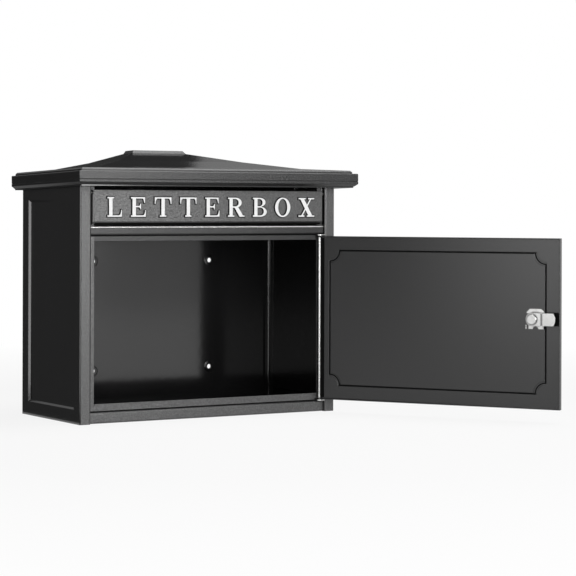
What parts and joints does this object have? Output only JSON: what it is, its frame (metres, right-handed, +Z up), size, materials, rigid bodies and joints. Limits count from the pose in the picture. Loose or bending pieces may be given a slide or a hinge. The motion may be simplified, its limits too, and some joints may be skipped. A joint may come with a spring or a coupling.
{
  "type": "wall mailbox",
  "caption": "Black wall mailbox with a moulded hip roof, a top-hung letter flap and a side-hinged inset door that stands open and shuts with a cam lock.",
  "frame": {"origin": "centre of the four wall holes, on the back panel's rear face", "axes": "+X to the right as the box is faced, +Y into the wall so the front looks along -Y, +Z up"},
  "size_m": [0.5293, 0.4369, 0.3325],
  "materials": {
    "grained_black": "fine-grained black powder coat",
    "smooth_black": "satin black powder coat",
    "bright_steel": "bright plated steel",
    "lock_chrome": "bright nickel plate",
    "black_rubber": "matt moulded rubber"
  },
  "bodies": {
    "box": {"left_side": "grained_black", "right_side": "grained_black", "back_panel": "smooth_black", "floor_tray": "smooth_black", "bottom_rail": "grained_black", "lintel": "grained_black", "soffit_plate": "smooth_black", "roof_shell": "grained_black", "roof_screws": "bright_steel", "hinge_tabs": "bright_steel", "hinge_rod": "bright_steel"},
    "flap": {"letter_flap": "grained_black", "flap_pivots": "bright_steel"},
    "door": {"door_panel": "smooth_black", "door_buffer": "black_rubber", "lock_barrel": "lock_chrome", "lock_clip": "lock_chrome"},
    "lock": {"lock_core": "lock_chrome", "lock_cam": "lock_chrome", "cam_screw": "lock_chrome"}
  },
  "joints": [
    {"name": "door_swing", "type": "hinge", "parent": "box", "child": "door", "pos_m": [0.1596, -0.1548, 0], "axis": [0, 0, 1], "range_deg": [-122, 0]},
    {"name": "flap_swing", "type": "hinge", "parent": "box", "child": "flap", "pos_m": [0, -0.1543, 0.1571], "axis": [-1, 0, 0], "range_deg": [0, 80]},
    {"name": "lock_turn", "type": "hinge", "parent": "door", "child": "lock", "pos_m": [0.31344, -0.40099, 0.0052], "axis": [-0.848, -0.5299, 0], "range_deg": [0, 90]}
  ]
}
